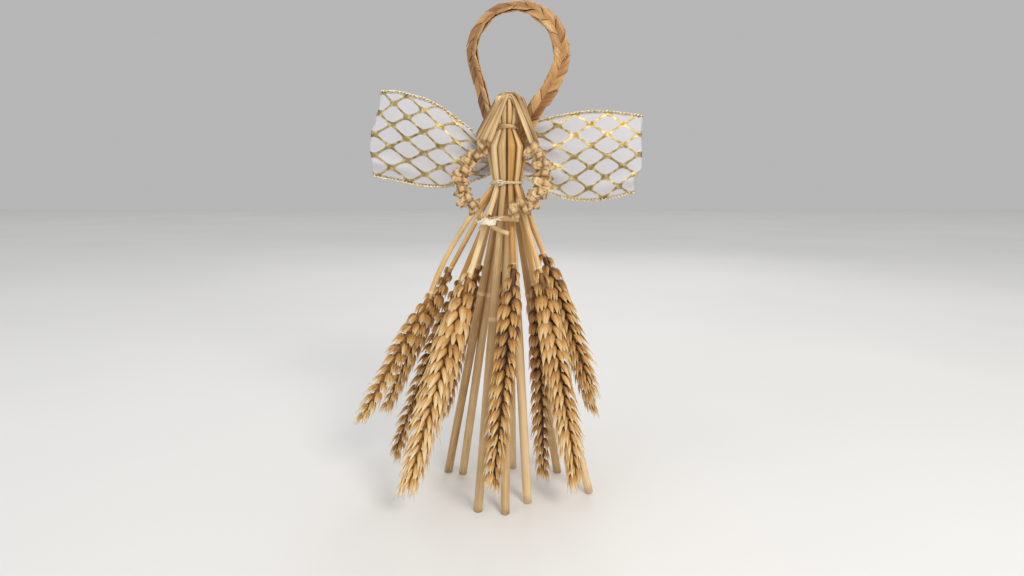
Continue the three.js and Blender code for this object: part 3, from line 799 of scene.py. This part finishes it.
# wings: one ribbon gathered behind the back; along and across run from -1 to 1 on the flat cloth
def wingPlace(along, across):
    side = "left" if along < 0 else "right"
    out = abs(along)
    heights = []
    for edge in (ribbon[side + "Low"], ribbon[side + "Top"]):
        for a, b in zip(edge, edge[1:]):
            if out <= b.x:
                break
        heights.append(lerp(a.y, b.y, min((out - a.x) / (b.x - a.x), 1)))
    low, top = heights
    tip = ribbon[side + "Tip"]
    at = (across + 1) / 2 * (len(tip) - 1)
    first = min(int(at), len(tip) - 2)
    tipReach = lerp(tip[first], tip[first + 1], smoothstep(at - first, 0, 1))
    reach = ribbon["reach"] * out + (tipReach - ribbon["reach"]) * out ** 5
    gathered = 1 - smoothstep(out, 0.0, 0.62)
    pleat = 2.5 * gathered ** 1.3 * math.cos(math.pi * (3.1 * across + 0.8 * out))
    ripple = 0.9 * math.sin(5 * out + 2.2 * across) * smoothstep(out, 0.3, 0.9)
    bulge = -3.2 * math.sin(math.pi * min(out, 1)) * math.cos(across * math.pi / 2)
    crease = -2.6 * smoothstep(out, 0.45, 1) * math.exp(-((across + 0.66 + 0.18 * (1 - out)) * 7) ** 2)
    y = ribbon["gatherY"] + ribbon["sweepBack"] * out + pleat + ripple + bulge + crease
    return Vector((math.copysign(reach, along), y, lerp(low, top, (across + 1) / 2)))


bm = bmesh.new()
clothLayer = bm.loops.layers.uv.new("clothUv")
edgeLayer = bm.verts.layers.float.new("fromMiddle")
sheet = bmesh.ops.create_grid(bm, x_segments=ribbon["steps"][0], y_segments=ribbon["steps"][1], size=1)["verts"]
for face in bm.faces:
    face.smooth = True
    for loop in face.loops:
        flat = loop.vert.co
        spread = (wingPlace(flat.x, flat.y) - wingPlace(flat.x, 0)).z   # the weave is hardly drawn together in sight
        drawn = lerp(spread, flat.y * ribbon["width"] / 2, ribbon["drawn"])
        loop[clothLayer].uv = (flat.x * ribbon["length"] / 20, drawn / 10)
for v in sheet:
    v[edgeLayer] = abs(v.co.y)
    v.co = wingPlace(v.co.x, v.co.y)
wings = finishPiece(bm, "wing_ribbon_cloth", ["wing_ribbon"], gauzeFinish)
wall = wings.modifiers.new("clothWall", "SOLIDIFY")
wall.thickness = ribbon["thickness"] * 0.001
wall.offset = 0

# looped thread along both long edges
edging = {"loop": 2.1, "swing": 0.75, "thread": 0.34, "samples": 6}
bm = startPiece()
for across in (-1, 1):
    count = round(ribbon["length"] / edging["loop"] * edging["samples"])
    centres = []
    for i in range(count + 1):
        along = -1 + 2 * i / count
        t = 2 * math.pi * i / edging["samples"]
        swing = edging["swing"] * (1 + 0.3 * math.sin(i * 0.37))
        rise = across * swing * (0.1 + 0.6 * math.cos(t))
        centres.append(wingPlace(along, across) + Vector((0.5 * math.sin(t), 0.45 * math.sin(t), rise)))
    half = (edging["thread"] * 1.3, edging["thread"])
    rollStraw(bm, evenRings(centres, [forward] * len(centres), half), 5, 0.5)
ribbonEdging = finishPiece(bm, "wing_ribbon_edging", [], edgingFinish)
print("wings made")

# floor, light and camera
floorMesh = bpy.data.meshes.new("floor")
bm = bmesh.new()
bmesh.ops.create_grid(bm, x_segments=1, y_segments=1, size=4)
bm.to_mesh(floorMesh)
bm.free()
floor = bpy.data.objects.new("floor", floorMesh)
floor.location.z = -0.0002
bpy.context.scene.collection.objects.link(floor)
floorFinish, tree, shader = newFinish("paleFloor")
coords = addNode(tree, "TexCoord").outputs["Object"]
patch = addNode(tree, "TexNoise", {"Vector": coords, "Scale": 3.0}).outputs[0]
paleGreys = [(0.3, (0.84, 0.84, 0.83)), (0.7, (0.88, 0.88, 0.87))]
tree.links.new(ramp(tree, patch, paleGreys), shader.inputs["Base Color"])
shader.inputs["Roughness"].default_value = 0.7
floorMesh.materials.append(floorFinish)
floor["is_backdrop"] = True

world = bpy.data.worlds.new("studio")
world.use_nodes = True
world.node_tree.nodes["Background"].inputs["Color"].default_value = (0.84, 0.84, 0.84, 1)
world.node_tree.nodes["Background"].inputs["Strength"].default_value = 0.56
bpy.context.scene.world = world


def addLight(name, place, aim, size, power, colour):
    lamp = bpy.data.lights.new(name, "AREA")
    lamp.size = size
    lamp.energy = power
    lamp.color = colour
    light = bpy.data.objects.new(name, lamp)
    light.location = place
    light.rotation_euler = (Vector(aim) - Vector(place)).to_track_quat("-Z", "Y").to_euler()
    bpy.context.scene.collection.objects.link(light)


addLight("key", (0.45, -0.75, 0.75), (0, 0, 0.13), 0.35, 5.4, (1.0, 0.95, 0.88))
addLight("ceiling", (0, 0, 3.5), (0, 0, 0), 7, 45, (1.0, 1.0, 1.0))
addLight("fill", (-0.8, -0.6, 0.5), (0, 0, 0.13), 0.8, 1.7, (0.93, 0.96, 1.0))
addLight("back", (0.2, 0.9, 0.8), (0, 0, 0.15), 0.6, 1.8, (1.0, 0.98, 0.95))

photoView = {"place": (2.6, -302, 170), "down": 10, "sensor": 36, "lens": 20.215}
camera = bpy.data.objects.new("camera", bpy.data.cameras.new("camera"))
camera.location = toFrame @ Vector(photoView["place"])
camera.rotation_euler = (math.radians(90 - photoView["down"]), 0, 0)
camera.data.sensor_width = photoView["sensor"]
camera.data.lens = photoView["lens"]
camera.data.clip_start = 0.01
bpy.context.scene.collection.objects.link(camera)
bpy.context.scene.camera = camera
bpy.context.scene.view_settings.view_transform = "Standard"

triangles = sum(len(p.vertices) - 2 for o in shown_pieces() if o.type == "MESH" for p in o.data.polygons)
print("triangles in all:", triangles)
